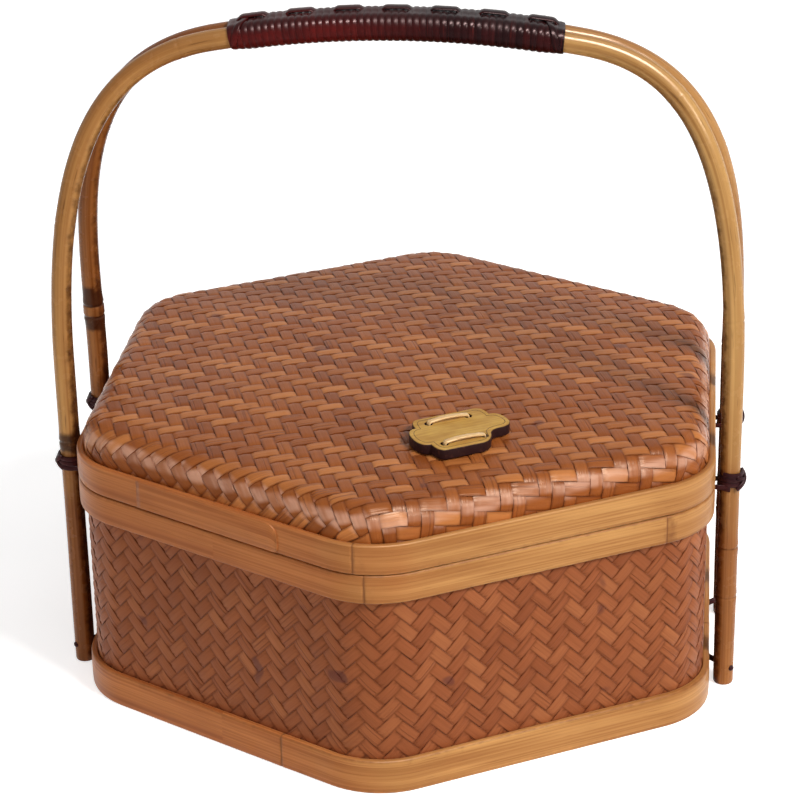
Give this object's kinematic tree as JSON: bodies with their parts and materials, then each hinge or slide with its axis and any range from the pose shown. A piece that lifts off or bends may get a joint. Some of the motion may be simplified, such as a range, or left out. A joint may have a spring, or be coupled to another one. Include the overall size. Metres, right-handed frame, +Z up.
{
  "type": "tea basket",
  "caption": "Hexagonal woven bamboo tea basket with a lift-off domed lid and a fixed double-pole arched handle.",
  "frame": {"origin": "middle of the base, on the surface that the basket stands on", "axes": "+Z up; +Y to the back, through a corner of the hexagon; +X to the right, square to the flat that the handle legs stand on"},
  "size_m": [0.2618, 0.2672, 0.2576],
  "materials": {
    "woven_bamboo": "satin stained bamboo strips in a twill weave",
    "bamboo_band": "satin honey bamboo",
    "bamboo_pole": "glossy amber bamboo",
    "dark_cane": "glossy dark red lacquered cane",
    "plaque_wood": "satin wood with burnt edges",
    "gold_cane": "glossy split cane"
  },
  "bodies": {
    "basket": {"body_wall": "woven_bamboo", "base_panel": "woven_bamboo", "base_band_outer": "bamboo_band", "base_band_inner": "bamboo_band", "base_slat_1": "bamboo_band", "base_slat_2": "bamboo_band", "base_slat_3": "bamboo_band", "rim_band": "bamboo_band", "rim_collar": "bamboo_band", "handle_pole_front": "bamboo_pole", "handle_pole_back": "bamboo_pole", "grip_winding": "dark_cane", "leg_lashing_front_left": "dark_cane", "leg_lashing_front_right": "dark_cane", "leg_lashing_back_left": "dark_cane", "leg_lashing_back_right": "dark_cane", "leg_pin_front_left": "bamboo_pole", "leg_pin_front_right": "bamboo_pole", "leg_pin_back_left": "bamboo_pole", "leg_pin_back_right": "bamboo_pole"},
    "lid": {"lid_shell": "woven_bamboo", "lid_band": "bamboo_band", "plaque": "plaque_wood", "plaque_stitch_front": "gold_cane", "plaque_stitch_back": "gold_cane"}
  },
  "joints": [
    {"name": "lid_lift", "type": "slide", "parent": "basket", "child": "lid", "axis": [0, 0, 1], "range_m": [0, 0.05]}
  ]
}
